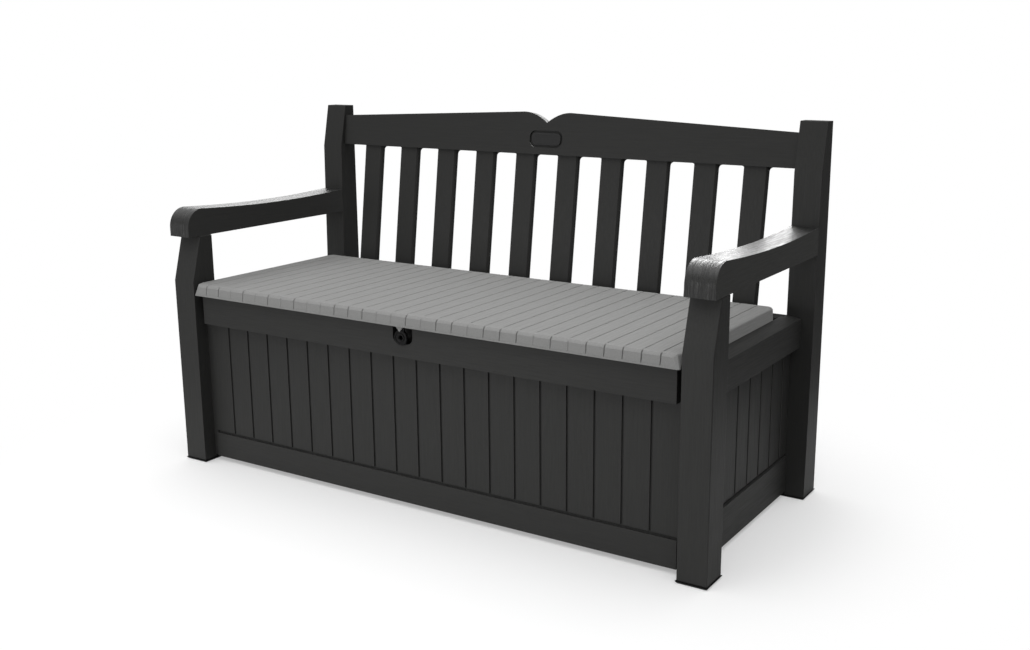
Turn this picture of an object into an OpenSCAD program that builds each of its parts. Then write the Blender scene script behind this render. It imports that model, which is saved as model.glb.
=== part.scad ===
// Outdoor storage bench: a moulded plastic chest with arms, a slatted back
// and a hinged seat lid. Millimetres; +X is to the right seen from the
// front, -Y is the front, the floor is Z = 0.

/* [Overall] */
// Width over the legs' outer faces
bench_w = 1400; // [1250:10:1600]
// Depth from the front legs' front faces to the rear posts' back faces
bench_d = 596; // [560:2:640]
// Height of the rear posts
bench_h = 840; // [830:1:880]

/* [Front legs] */
// Width of a front leg, seen from the front
leg_w = 64; // [56:1:72]
// Depth of a front leg at the floor
leg_d = 66; // [58:1:76]
// Height where the leg's front face starts to lean back
leg_bend_z = 450; // [430:2:480]
// How far the front face has leaned back under the armrest
leg_lean = 30; // [10:1:34]
// Wall of legs, posts and armrests
wall = 4; // [3:0.5:5]

/* [Rear posts] */
// Width of a rear post, seen from the front
post_w = 62; // [54:1:70]
// Depth of a rear post at the floor
post_base_d = 69; // [64:1:80]
// Depth of a rear post at its bend
post_bend_d = 55; // [50:1:62]
// Depth of a rear post at its top
post_top_d = 32; // [26:1:40]
// Height of the bend
post_bend_z = 732; // [700:2:760]

/* [Foot caps] */
// How far a foot cap stands out around its leg
foot_lip = 2.5; // [1:0.5:4]
// Thickness of the foot cap under the leg
foot_t = 5; // [3:0.5:7]
// Height of the plug inside the leg
plug_h = 20; // [12:1:35]
// Clearance around a plug, tenon or screw shank
fit_gap = 0.3; // [0.1:0.1:0.6]

/* [Armrests] */
// Height of the armrests' underside
arm_z = 557; // [520:1:590]
// Width of an armrest
arm_w = 62; // [54:1:64]
// Thickness of the armrest behind its nose
arm_front_h = 65; // [56:1:72]
// Thickness at the middle, where the hand rests
arm_mid_h = 54; // [46:1:60]
// Thickness where it meets the post
arm_rear_h = 60; // [50:1:70]
// Radius of the nose
nose_r = 44; // [30:1:50]
// How far the nose stands in front of the leg's face
nose_out = 2; // [0:0.5:2.5]

/* [Chest] */
// Height of the chest's rim, where the lid rests
rim_z = 420; // [390:2:424]
// Gap between the tops of the foot caps and the panels
base_gap = 7; // [1:1:10]
// Depth of the front and back panels, from the upper band to the inner face
panel_t = 40; // [36:1:44]
// How far the side panels reach inside the legs' inner faces
side_over = 4; // [3:0.5:8]
// Skin thickness of a panel
skin = 4; // [3.5:0.5:6]
// Thickness of the ribs inside a panel
rib_t = 3; // [2:0.5:4]
// Set-back of the front and back bands from the leg faces
band_in = 13; // [8:1:18]
// Set-back of the side bands from the legs' outer faces
side_in = 28; // [24:1:32]
// Height of the upper band
band_h = 71; // [55:1:85]
// How far the planks lie behind the upper band
plank_in = 20; // [12:1:22]
// Height of the lower band at the front and back
low_h = 60; // [45:1:80]
// Height of the lower band at the sides
side_low_h = 85; // [60:1:110]
// How far the lower band stands out from the planks
low_out = 4; // [2:0.5:6]
// How far the side ledge slopes down to its outer edge
ledge_drop = 6; // [0:0.5:8]
// How far the front and back bands stop short of the legs
band_short = 14; // [10:1:20]
// Spacing of the plank grooves
plank_pitch = 62.5; // [50:0.5:80]
// Width of a plank groove
groove_w = 5; // [3:0.5:7]
// Depth of a plank groove
groove_deep = 2; // [1:0.5:3]

/* [Floor] */
// Height of the shelf that carries the floor, over the panels' lower edges
shelf_up = 16; // [15:1:30]
// Width of that shelf inside the panels
shelf_w = 12; // [10:1:16]
// Thickness of the floor plate
floor_t = 4; // [3:0.5:6]
// Height of the ribs under the floor plate
floor_rib_h = 14; // [8:1:15]
// Spacing of the ribs under the floor plate
floor_pitch = 120; // [90:5:160]

/* [Lid] */
// Thickness of the lid
lid_t = 27.5; // [26:0.5:32]
// Gap between the lid and the legs
lid_gap = 3; // [2:0.5:6]
// Depth of the lid, front to rear
lid_d = 478.5; // [470:0.5:484]
// How far the lid's front edge stands in front of the legs
lid_over = 2.5; // [0:0.5:6]
// Number of planks across the lid
lid_planks = 32; // [24:2:40]
// Width of a groove between two lid planks
lid_groove_w = 3; // [2:0.5:4]
// Depth of a groove between two lid planks
lid_groove_deep = 1.5; // [0.5:0.5:2]
// Skin thickness of the lid
lid_skin = 4; // [3:0.5:5]
// How far the front skirt leans back to the top
lid_lean = 9; // [4:1:12]
// Height of the lip along the lid's front edge
lip_h = 3; // [2:0.5:5]
// How far that lip stands out from the skirt
lip_out = 1.5; // [0.5:0.5:3]
// Rounding of the lid's front top edge
top_round = 4; // [2:0.5:6]
// Height of the ribs under the lid
lid_rib_h = 8; // [4:1:12]
// Spacing of the ribs under the lid
lid_rib_pitch = 115; // [80:5:160]
// Width of a reinforcing bar in the lid
bar_w = 30; // [20:1:40]
// Wall of a reinforcing bar
bar_wall = 1.5; // [1:0.5:3]

/* [Backrest] */
// Angle that the backrest leans back
rake = 7.7; // [6:0.1:9]
// Number of slats
slats = 10; // [8:1:10]
// Spacing of the slats
slat_pitch = 120.4; // [110:0.2:122]
// Width of a slat
slat_w = 56.5; // [40:0.5:70]
// Thickness of a slat
slat_t = 14; // [10:0.5:16]
// Height of the top rail's lower edge
top_rail_z = 738; // [700:1:750]
// Height of the top rail at its ends
top_end_h = 76; // [60:1:84]
// Height of the top rail at its two crests
top_crest_h = 101; // [90:1:110]
// Distance of a crest from the middle
crest_x = 66; // [50:1:90]
// Depth of the notch between the crests
notch_deep = 25; // [10:1:30]
// How far the top rail stands out from the slats
rail_out = 6; // [2:0.5:8]
// Height of the foot rail under the slats
foot_rail_h = 19; // [12:1:20]
// Depth of the foot rail
foot_rail_d = 42; // [34:1:50]
// Distance of the slats' feet from the posts' back faces
slat_foot_in = 79.7; // [76:0.1:83]
// Length of the tenons that hold the backrest in the posts
tenon_l = 22; // [12:1:30]

/* [Name plate] */
// Length of the bare plate on the top rail
plate_l = 92; // [60:1:110]
// Height of the plate
plate_h = 38; // [26:1:44]
// Thickness of the plate
plate_t = 3; // [2:0.5:4]
// Height of the plate's middle over the top rail's lower edge
plate_up = 37; // [32:1:44]
// Corner radius of the plate
plate_r = 14; // [4:1:18]
// Depth of the recess that the plate sits in
plate_sink = 1.5; // [0.5:0.5:3]
// Width of the groove around the plate
plate_gap = 2; // [1:0.5:3]

/* [Hinge] */
// Diameter of a hinge pin
pin_d = 6; // [5:0.5:8]
// Running clearance around a hinge pin
pin_gap = 0.05; // [0.02:0.01:0.1]
// Outer radius of a knuckle
knuckle_r = 7; // [6.5:0.5:8]
// Length of one knuckle
knuckle_l = 26; // [18:1:36]
// Gap between neighbouring knuckles
knuckle_gap = 0.5; // [0.3:0.1:1]
// Distance of the outer hinges from the middle
hinge_x = 460; // [380:5:520]
// Distance of the hinge axis behind the lid
hinge_back = 12; // [10:0.5:14]
// Drop of the hinge rail below the rim
ledge_sink = 12; // [10:0.5:14]
// Depth of the apron in front of the hinge rail
apron_h = 28; // [15:1:50]
// Height of the hinge axis over the rim
hinge_up = 5; // [3:0.5:7]

/* [Lock] */
// Radius of the hasp's disc
hasp_r = 17; // [14:0.5:19]
// Diameter of the padlock hole
lock_hole_d = 10; // [8:0.5:12]
// Thickness of the hasp and of the eye
lock_t = 5; // [3:0.5:6]
// Height of the hole under the rim
lock_drop = 26; // [24:0.5:30]
// Width of the pocket in the front band
pocket_w = 52; // [44:1:60]
// Height of the pocket
pocket_h = 40; // [38:0.5:46]
// Depth of the pocket
pocket_deep = 16; // [12:0.5:18]

/* [Screws] */
// Shank diameter of a screw
screw_d = 5; // [4:0.5:6]
// Head diameter of a screw
head_d = 10; // [8:0.5:11]
// Head height of a screw
head_h = 3; // [2:0.5:4]

/* [Hidden] */
$fn = 48;
frame_colour = "#343536";
lid_colour = "#97928e";
cap_colour = "#1f2021";
steel_colour = "#b4b7ba";
cut = 1; // how far a cutter runs past the face it opens

// Main planes
half_w = bench_w / 2;
front_y = -bench_d / 2;
back_y = bench_d / 2;
leg_in_x = half_w - leg_w;
post_in_x = half_w - post_w;
leg_back_y = front_y + leg_d;
base_z = foot_t + base_gap;
shelf_z = base_z + shelf_up;
band_z = rim_z - band_h;
ledge_z = rim_z - ledge_sink;

// The chest's inner faces
band_front_y = front_y + band_in;
band_back_y = back_y - band_in;
in_front_y = band_front_y + panel_t;
in_back_y = band_back_y - panel_t;
side_out_x = half_w - side_in;
side_in_x = leg_in_x - side_over;
side_t = side_out_x - side_in_x;
low_z = base_z + low_h;
side_low_z = base_z + side_low_h;
low_d = plank_in - low_out + skin;

// The lid's box
lid_x = leg_in_x - lid_gap;
lid_front_y = front_y - lid_over;
lid_rear_y = lid_front_y + lid_d;
lid_top_z = rim_z + lid_t;
lid_pitch = 2 * lid_x / lid_planks;
liner_x = lid_x - lid_skin - fit_gap;
liner_front_y = lid_front_y + lid_lean + lid_skin + fit_gap;
liner_rear_y = lid_rear_y - lid_skin - fit_gap;
bar_h = lid_t - 2 * lid_skin - fit_gap;

// The hinge axis and the rail that carries it
axis_y = lid_rear_y + hinge_back;
axis_z = rim_z + hinge_up;
lip_front_y = lid_rear_y - hinge_back;
lip_t = 6;
pin_span = 3 * knuckle_l + 2 * knuckle_gap;
knuckle_step = knuckle_l + knuckle_gap;
pin_head_t = 2;
pin_head_d = 2 * knuckle_r - 2;
leaf_t = 6;
leaf_z = rim_z + 1;
leaf_clear = 1.5;

// The backrest's foot, and heights measured along its lean
slat_foot_y = back_y - slat_foot_in;
function up_lean(z) = (z - ledge_z) / cos(rake);
slat_chamfer = 3;
rail_back = 1; // how far the top rail stands behind the slats
foot_out = 2; // how far the foot rail stands in front of the slats
tenon_t = 9;
tenon_h = 40;
foot_tenon_up = 3;
foot_tenon_in = 4;

// The lock, half a plank left of the middle
lock_x = -lid_pitch / 2;
lock_z = rim_z - lock_drop;
eye_front_y = band_front_y + 1;
hasp_back_y = band_front_y - 1;
hasp_ear_x = 10;
hasp_notch = 9;
hasp_steps = 30;
eye_wall = 5;
eye_r = lock_hole_d / 2 + eye_wall;
eye_post_w = 12;
flange_t = 3;
flange_clear = 2;
flange_y = band_front_y + pocket_deep - flange_clear;
pocket_r = 14;
pocket_bottom_z = rim_z - pocket_h;

// Screw places
end_wall = 12;
head_clear = 0.5;
screw_bite = 6;
screw_up = 40;
screw_down = 35;
panel_screw_zs = [shelf_z + screw_up, rim_z - screw_down];
panel_screw_in = (plank_in + panel_t) / 2;
side_screw_x = max(leg_in_x + head_d / 2, post_in_x + screw_d / 2) + wall + head_clear;
rail_screw_z = ledge_z - wall - head_d / 2 - head_clear;
arm_x = half_w - arm_w / 2;
arm_screw_y = (front_y + leg_lean + leg_back_y) / 2;
arm_screw_z = arm_z + arm_rear_h / 2;

// Front face of a rear post at height z, which leans back over the bend
function post_front(z) = back_y - (z < post_bend_z
    ? post_base_d + (post_bend_d - post_base_d) * z / post_bend_z
    : post_bend_d + (post_top_d - post_bend_d) * (z - post_bend_z) / (bench_h - post_bend_z));

// Front face of a front leg at height z
function leg_front(z) = front_y + leg_lean * max(0, z - leg_bend_z) / (arm_z - leg_bend_z);

// A prism along X from an outline in (y, z)
module along_x(x0, x1, outline) {
    translate([x0, 0, 0]) rotate([90, 0, 90]) linear_extrude(x1 - x0) polygon(outline);
}

// A prism along Y from an outline in (x, z)
module along_y(y0, y1, outline) {
    translate([0, y1, 0]) rotate([90, 0, 0]) linear_extrude(y1 - y0) polygon(outline);
}

// A box from its two corners
module block(a, b) {
    translate(a) cube(b - a);
}

// A rounded rectangle about the origin
function round_rect(l, h, r, n = 8) = [
    for (c = [[1, 1, 0], [-1, 1, 90], [-1, -1, 180], [1, -1, 270]], i = [0:n])
        [c[0] * (l / 2 - r) + r * cos(c[2] + 90 * i / n), c[1] * (h / 2 - r) + r * sin(c[2] + 90 * i / n)]
];

// The left piece is the right piece mirrored
module left_of() {
    mirror([1, 0, 0]) children();
}

// A screw along +Z: its head below the origin, its shank above
module screw(length) {
    cylinder(d = screw_d, h = length);
    translate([0, 0, -head_h]) cylinder(d = head_d, h = head_h);
}

// The hole that a screw's shank needs
module screw_hole(length) {
    translate([0, 0, -cut]) cylinder(d = screw_d + 2 * fit_gap, h = length + cut);
}

// Screws through the ends of the front and back panels, into leg or post.
// end_x is the face they bite into.
module end_screws(end_x, y, hole = false) {
    for (z = panel_screw_zs)
        translate([end_x - band_short - wall, y, z]) rotate([0, 90, 0]) {
            length = band_short + 2 * wall + screw_bite;
            if (hole) screw_hole(length);
            else screw(length);
        }
}

// Screws through the ends of a side panel: forwards into the leg, and
// backwards into the post.
module side_screws(hole = false) {
    for (z = panel_screw_zs) {
        translate([side_screw_x, leg_back_y + wall, z]) rotate([90, 0, 0]) {
            if (hole) screw_hole(2 * wall + screw_bite);
            else screw(2 * wall + screw_bite);
        }
        translate([side_screw_x, post_front(rim_z) - end_wall, z]) rotate([-90, 0, 0]) {
            if (hole) screw_hole(end_wall + wall + screw_bite);
            else screw(end_wall + wall + screw_bite);
        }
    }
}

// Screws through the hinge rail's end plates into the side panels
module rail_screw(hole = false) {
    translate([side_in_x - wall, post_front(rim_z) - end_wall / 2, rail_screw_z]) rotate([0, 90, 0]) {
        if (hole) screw_hole(wall + screw_bite);
        else screw(wall + screw_bite);
    }
}

// The two screws of an armrest: up through the leg, and forwards through
// the post.
module arm_screws(hole = false) {
    translate([arm_x, arm_screw_y, arm_z - wall]) {
        if (hole) screw_hole(2 * wall + screw_bite);
        else screw(2 * wall + screw_bite);
    }
    translate([arm_x, post_front(arm_screw_z + head_d / 2) + wall, arm_screw_z]) rotate([90, 0, 0]) {
        if (hole) screw_hole(2 * wall + screw_bite);
        else screw(2 * wall + screw_bite);
    }
}

// FRONT LEGS: hollow, closed under the armrest, open at the foot
module front_leg() {
    color(frame_colour) difference() {
        along_x(leg_in_x, half_w, [
            [front_y, foot_t], [front_y, leg_bend_z], [leg_front(arm_z), arm_z],
            [leg_back_y, arm_z], [leg_back_y, foot_t]
        ]);
        along_x(leg_in_x + wall, half_w - wall, [
            [front_y + wall, foot_t - cut], [front_y + wall, leg_bend_z],
            [leg_front(arm_z - wall) + wall, arm_z - wall],
            [leg_back_y - wall, arm_z - wall], [leg_back_y - wall, foot_t - cut]
        ]);
        end_screws(leg_in_x, band_front_y + panel_screw_in, hole = true);
        side_screws(hole = true);
        arm_screws(hole = true);
    }
}
module front_leg_right() { front_leg(); }
module front_leg_left() { left_of() front_leg(); }

// REAR POSTS: hollow, closed at the top, open at the foot
module rear_post() {
    color(frame_colour) difference() {
        along_x(post_in_x, half_w, [
            [post_front(foot_t), foot_t], [post_front(post_bend_z), post_bend_z],
            [post_front(bench_h), bench_h], [back_y, bench_h], [back_y, foot_t]
        ]);
        along_x(post_in_x + wall, half_w - wall, [
            [post_front(foot_t - cut) + wall, foot_t - cut], [post_front(post_bend_z) + wall, post_bend_z],
            [post_front(bench_h - wall) + wall, bench_h - wall],
            [back_y - wall, bench_h - wall], [back_y - wall, foot_t - cut]
        ]);
        end_screws(post_in_x, band_back_y - panel_screw_in, hole = true);
        side_screws(hole = true);
        arm_screws(hole = true);
        tenons(fit_gap);
    }
}
module rear_post_right() { rear_post(); }
module rear_post_left() { left_of() rear_post(); }

// FOOT CAPS: a lipped pad with a hollow plug that fits the leg's bore
module foot_cap(in_x, y0, y1, plug_y0, plug_y1) {
    color(cap_colour) {
        block([in_x - foot_lip, y0 - foot_lip, 0], [half_w + foot_lip, y1 + foot_lip, foot_t]);
        difference() {
            block([in_x + wall + fit_gap, plug_y0, 0], [half_w - wall - fit_gap, plug_y1, foot_t + plug_h]);
            block([in_x + 2 * wall + fit_gap, plug_y0 + wall, foot_t],
                  [half_w - 2 * wall - fit_gap, plug_y1 - wall, foot_t + plug_h + cut]);
        }
    }
}
module foot_cap_front_right() {
    foot_cap(leg_in_x, front_y, leg_back_y, front_y + wall + fit_gap, leg_back_y - wall - fit_gap);
}
module foot_cap_front_left() { left_of() foot_cap_front_right(); }
module foot_cap_rear_right() {
    foot_cap(post_in_x, post_front(foot_t), back_y,
             post_front(foot_t + plug_h) + wall + fit_gap, back_y - wall - fit_gap);
}
module foot_cap_rear_left() { left_of() foot_cap_rear_right(); }

// ARMRESTS: a hollow beam with a rounded nose and a shallow dip for the
// hand, resting on the leg and butting against the post's leaning face.
arm_front_y = front_y - nose_out;
crest_y = arm_front_y + nose_r;
arm_top_z = arm_z + arm_front_h;

// Height of the top over the underside, by a parabola through nose,
// middle and post
function arm_h(y) =
    let (a = crest_y, m = 0, b = post_front(arm_z))
    arm_front_h * (y - m) * (y - b) / ((a - m) * (a - b))
    + arm_mid_h * (y - a) * (y - b) / ((m - a) * (m - b))
    + arm_rear_h * (y - a) * (y - m) / ((b - a) * (b - m));

// The outline in (y, z), drawn in by g on every side
function arm_outline(g) =
    let (b = post_front(arm_z + arm_rear_h / 2) - g, n = 12, r = nose_r - g)
    concat(
        [[post_front(arm_z) - g, arm_z + g], [arm_front_y + g, arm_z + g]],
        [for (i = [0:n]) [crest_y - r * cos(90 * i / n), arm_top_z - nose_r + r * sin(90 * i / n)]],
        [for (i = [1:n - 1]) let (y = crest_y + (b - crest_y) * i / n) [y, arm_z + arm_h(y) - g]],
        [[post_front(arm_z + arm_rear_h) - g, arm_z + arm_h(post_front(arm_z + arm_rear_h)) - g]]
    );
module armrest() {
    color(frame_colour) difference() {
        along_x(half_w - arm_w, half_w, arm_outline(0));
        along_x(half_w - arm_w + wall, half_w - wall, arm_outline(wall));
        arm_screws(hole = true);
    }
}
module armrest_right() { armrest(); }
module armrest_left() { left_of() armrest(); }

// CHEST PANELS: one-sided mouldings. A panel is drawn lying along X, with
// d the depth from its upper band and z its height. t is its whole depth,
// top its upper edge, low the top of its lower band and drop the fall of
// its ledge.
function panel_face(t, top, low, drop) = concat(
    [[t, top]],
    drop > 0 ? [[t - side_over, top]] : [],
    [[0, top - drop], [0, band_z], [plank_in, band_z], [plank_in, low],
     [plank_in - low_out, low], [plank_in - low_out, base_z]]
);
function panel_solid(t, top, low, drop) = concat(
    panel_face(t, top, low, drop), [[t, base_z]]
);
function panel_skin(t, top, low, drop) = concat(
    panel_face(t, top, low, drop),
    [[low_d, base_z], [low_d, shelf_z - skin], [t, shelf_z - skin], [t, shelf_z],
     [low_d, shelf_z], [low_d, low - skin], [plank_in + skin, low - skin], [plank_in + skin, band_z + skin],
     [skin, band_z + skin], [skin, top - drop - skin]],
    drop > 0 ? [[t - side_over, top - skin]] : [],
    [[t, top - skin]]
);

// The skin, its end walls and the ribs behind every second groove, with
// the grooves cut. n is the number of grooves each side of mid.
module panel(x0, x1, mid, t, top, low, drop, n, end0, end1) {
    difference() {
        union() {
            along_x(x0, x1, panel_skin(t, top, low, drop));
            along_x(x0, x0 + end0, panel_solid(t, top, low, drop));
            along_x(x1 - end1, x1, panel_solid(t, top, low, drop));
            for (i = [1:2:n], s = [-1, 1])
                along_x(mid + s * i * plank_pitch - rib_t / 2, mid + s * i * plank_pitch + rib_t / 2,
                        panel_solid(t, top, low, drop));
        }
        for (i = [-n:n])
            block([mid + i * plank_pitch - groove_w / 2, plank_in - cut, low],
                  [mid + i * plank_pitch + groove_w / 2, plank_in + groove_deep, band_z]);
        block([x0 - cut, plank_in - cut, low], [x1 + cut, plank_in + groove_deep, low + groove_w]);
    }
}

// The shelf for the floor, kept clear of the shelves round the corner
module shelf(x0, x1, t) {
    block([x0, t - cut, shelf_z - skin], [x1, t + shelf_w, shelf_z]);
}
shelf_x = side_in_x - shelf_w - 1;
function groove_count(half) = floor((half - plank_pitch / 3) / plank_pitch);

// A wide panel between two legs, with a plain stile at each end where the
// bands stop short
module wide_panel(end_x, top, low) {
    x = end_x - band_short;
    panel(-x, x, 0, panel_t, top, low, 0, groove_count(x), wall, wall);
    for (s = [-1, 1])
        block([s > 0 ? x : -end_x, plank_in, base_z], [s > 0 ? end_x : -x, panel_t, top]);
    shelf(-shelf_x, shelf_x, panel_t);
}

// The pocket's outline in (x, z), round at the bottom corners
function pocket_outline() = concat(
    [[lock_x - pocket_w / 2, rim_z + cut]],
    [for (i = [0:8]) [lock_x - pocket_w / 2 + pocket_r - pocket_r * cos(90 * i / 8),
                      pocket_bottom_z + pocket_r - pocket_r * sin(90 * i / 8)]],
    [for (i = [0:8]) [lock_x + pocket_w / 2 - pocket_r + pocket_r * sin(90 * i / 8),
                      pocket_bottom_z + pocket_r - pocket_r * cos(90 * i / 8)]],
    [[lock_x + pocket_w / 2, rim_z + cut]]
);
module front_panel() {
    color(frame_colour) difference() {
        union() {
            translate([0, band_front_y, 0]) wide_panel(leg_in_x, rim_z, low_z);
            block([lock_x - pocket_w / 2 - skin, band_front_y + cut, pocket_bottom_z - skin],
                  [lock_x + pocket_w / 2 + skin, band_front_y + pocket_deep + skin, rim_z - cut]);
        }
        along_y(band_front_y - cut, band_front_y + pocket_deep, pocket_outline());
        end_screws(leg_in_x, band_front_y + panel_screw_in, hole = true);
        left_of() end_screws(leg_in_x, band_front_y + panel_screw_in, hole = true);
    }
}
module back_panel() {
    color(frame_colour) difference() {
        translate([0, band_back_y, 0]) rotate([0, 0, 180]) wide_panel(post_in_x, ledge_z, low_z);
        end_screws(post_in_x, band_back_y - panel_screw_in, hole = true);
        left_of() end_screws(post_in_x, band_back_y - panel_screw_in, hole = true);
    }
}

// The side panel's rear end follows the post's leaning face
module side_panel() {
    y1 = post_front(rim_z);
    mid = (leg_back_y + y1) / 2;
    color(frame_colour) difference() {
        translate([side_out_x, 0, 0]) rotate([0, 0, 90]) {
            panel(leg_back_y, y1, mid, side_t, rim_z, side_low_z, ledge_drop,
                  groove_count((y1 - leg_back_y) / 2), wall, end_wall);
            shelf(leg_back_y, y1, side_t);
        }
        along_x(0, half_w, [
            [post_front(0), 0], [post_front(post_bend_z), post_bend_z], [back_y, post_bend_z], [back_y, 0]
        ]);
        block([0, slat_foot_y - foot_out - fit_gap, ledge_z - fit_gap],
              [post_in_x + fit_gap, back_y, rim_z + cut]);
        side_screws(hole = true);
        rail_screw(hole = true);
    }
}
module side_panel_right() { side_panel(); }
module side_panel_left() { left_of() side_panel(); }

// FLOOR: a grooved plate on the shelves, ribbed below
floor_gap = 1.5;
module floor_panel() {
    x = side_in_x - floor_gap;
    y0 = in_front_y + floor_gap;
    y1 = in_back_y - floor_gap;
    rib_x = shelf_x - floor_gap;
    rib_y0 = in_front_y + shelf_w + floor_gap;
    rib_y1 = in_back_y - shelf_w - floor_gap;
    nx = floor(rib_x / floor_pitch);
    ny = floor((rib_y1 - rib_y0) / floor_pitch);
    color(frame_colour) {
        difference() {
            block([-x, y0, shelf_z], [x, y1, shelf_z + floor_t]);
            for (i = [-nx:nx])
                block([(i + 0.5) * floor_pitch - groove_w / 2, y0 + skin, shelf_z + floor_t - cut],
                      [(i + 0.5) * floor_pitch + groove_w / 2, y1 - skin, shelf_z + floor_t + cut]);
        }
        for (i = [-nx:nx])
            block([i * floor_pitch - rib_t / 2, rib_y0, shelf_z - floor_rib_h],
                  [i * floor_pitch + rib_t / 2, rib_y1, shelf_z + cut]);
        for (j = [0:ny])
            block([-rib_x, rib_y0 + (rib_y1 - rib_y0 - rib_t) * j / ny, shelf_z - floor_rib_h],
                  [rib_x, rib_y0 + (rib_y1 - rib_y0 - rib_t) * j / ny + rib_t, shelf_z + cut]);
    }
}

// HINGE RAIL: the fixed strip behind the lid, with a lip that carries the
// lid's rear edge and two knuckles beside each of the lid's
hinge_places = [-hinge_x, 0, hinge_x];
module knuckle(x) {
    translate([x - knuckle_l / 2, axis_y, axis_z]) rotate([0, 90, 0]) cylinder(r = knuckle_r, h = knuckle_l);
}
module pin_bore() {
    translate([-lid_x, axis_y, axis_z]) rotate([0, 90, 0]) cylinder(d = pin_d + 2 * pin_gap, h = 2 * lid_x);
}
module hinge_rail() {
    color(frame_colour) difference() {
        union() {
            along_x(-side_in_x, side_in_x, [
                [lip_front_y, ledge_z - apron_h], [lip_front_y, rim_z], [lip_front_y + lip_t, rim_z],
                [lip_front_y + lip_t, ledge_z], [in_back_y, ledge_z], [in_back_y, ledge_z - wall],
                [lip_front_y + wall, ledge_z - wall], [lip_front_y + wall, ledge_z - apron_h]
            ]);
            for (s = [-1, 1])
                along_x(s > 0 ? side_in_x - wall : -side_in_x, s > 0 ? side_in_x : wall - side_in_x, [
                    [lip_front_y, ledge_z - apron_h], [lip_front_y, ledge_z - cut],
                    [in_back_y, ledge_z - cut], [in_back_y, ledge_z - apron_h]
                ]);
            for (x = hinge_places, s = [-1, 1]) {
                knuckle(x + s * knuckle_step);
                block([x + s * knuckle_step - knuckle_l / 2, axis_y - knuckle_r / 2, ledge_z - cut],
                      [x + s * knuckle_step + knuckle_l / 2, axis_y + knuckle_r, axis_z]);
            }
        }
        pin_bore();
        rail_screw(hole = true);
        left_of() rail_screw(hole = true);
    }
}
module hinge_pin(x) {
    color(steel_colour) translate([x - pin_span / 2, axis_y, axis_z]) rotate([0, 90, 0]) {
        cylinder(d = pin_d, h = pin_span + pin_head_t);
        translate([0, 0, -pin_head_t]) cylinder(d = pin_head_d, h = pin_head_t);
    }
}
module hinge_pin_left() { hinge_pin(-hinge_x); }
module hinge_pin_middle() { hinge_pin(0); }
module hinge_pin_right() { hinge_pin(hinge_x); }

// BACKREST: one moulding of top rail, slats and foot rail. It is drawn
// upright from the slats' front face, then leaned back.
module lean_back() {
    translate([0, slat_foot_y, ledge_z]) rotate([-rake, 0, 0]) children();
}

// Height of the top rail's upper edge over its lower edge: a curve from
// notch to crest, then a straight fall to the end
function crown(x) = abs(x) < crest_x
    ? top_crest_h - notch_deep * pow(1 - abs(x) / crest_x, 2)
    : top_crest_h - (top_crest_h - top_end_h) * (abs(x) - crest_x) / (post_in_x - crest_x);
crown_steps = 12;
module top_rail() {
    low = up_lean(top_rail_z);
    upper = concat(
        [-post_in_x], [for (i = [-crown_steps:crown_steps]) crest_x * i / crown_steps], [post_in_x]
    );
    along_y(-rail_out, slat_t + rail_back, concat(
        [[post_in_x, low], [-post_in_x, low]], [for (x = upper) [x, low + crown(x) / cos(rake)]]
    ));
}
module slat(x) {
    w = slat_w / 2;
    translate([x, 0, skin]) linear_extrude(up_lean(top_rail_z)) polygon([
        [-w, slat_chamfer], [slat_chamfer - w, 0], [w - slat_chamfer, 0],
        [w, slat_chamfer], [w, slat_t], [-w, slat_t]
    ]);
}
module foot_rail() {
    y = slat_foot_y - foot_out;
    along_x(-post_in_x, post_in_x, [
        [y, ledge_z], [y + foot_rail_h * tan(rake), ledge_z + foot_rail_h],
        [y + foot_rail_d, ledge_z + foot_rail_h], [y + foot_rail_d, ledge_z]
    ]);
}

// Tenons on the right-hand ends of the top and foot rails, grown by g
// where they are cut out of the post
module tenons(g = 0) {
    mid_z = up_lean(top_rail_z) + top_end_h / 2;
    lean_back()
        block([post_in_x - cut, -g, mid_z - tenon_h / 2 - g],
              [post_in_x + tenon_l + g, tenon_t + g, mid_z + tenon_h / 2 + g]);
    y = slat_foot_y + foot_rail_d - foot_tenon_in;
    block([post_in_x - cut, y - tenon_t - g, ledge_z + foot_tenon_up - g],
          [post_in_x + tenon_l + g, y + g, ledge_z + foot_rail_h - foot_tenon_up + g]);
}
plate_z = top_rail_z + plate_up;
module plate_blank(l, h, r, y0, y1) {
    lean_back() translate([0, 0, up_lean(plate_z)]) along_y(y0, y1, round_rect(l, h, r));
}
module backrest() {
    color(frame_colour) difference() {
        union() {
            lean_back() {
                top_rail();
                for (i = [0:slats - 1]) slat((i - (slats - 1) / 2) * slat_pitch);
            }
            foot_rail();
            tenons();
            left_of() tenons();
        }
        plate_blank(plate_l + 2 * plate_gap, plate_h + 2 * plate_gap, plate_r + plate_gap,
                    -rail_out - cut, -rail_out + plate_sink);
    }
}
module name_plate() {
    y = plate_sink - rail_out;
    color(cap_colour) plate_blank(plate_l, plate_h, plate_r, y - plate_t, y);
}

// LID SHELL: planks on top, skirts all round, open below
rear_round = 2;
function lid_outline(g) = [
    [lid_front_y + g, rim_z - (g > 0 ? cut : 0)], [lid_front_y + g, rim_z + lip_h],
    [lid_front_y + lip_out + g, rim_z + lip_h],
    [lid_front_y + lid_lean + g, lid_top_z - top_round],
    [lid_front_y + lid_lean + top_round + g / 2, lid_top_z - g],
    [lid_rear_y - rear_round - g / 2, lid_top_z - g], [lid_rear_y - g, lid_top_z - rear_round - g / 2],
    [lid_rear_y - g, rim_z - (g > 0 ? cut : 0)]
];

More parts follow.
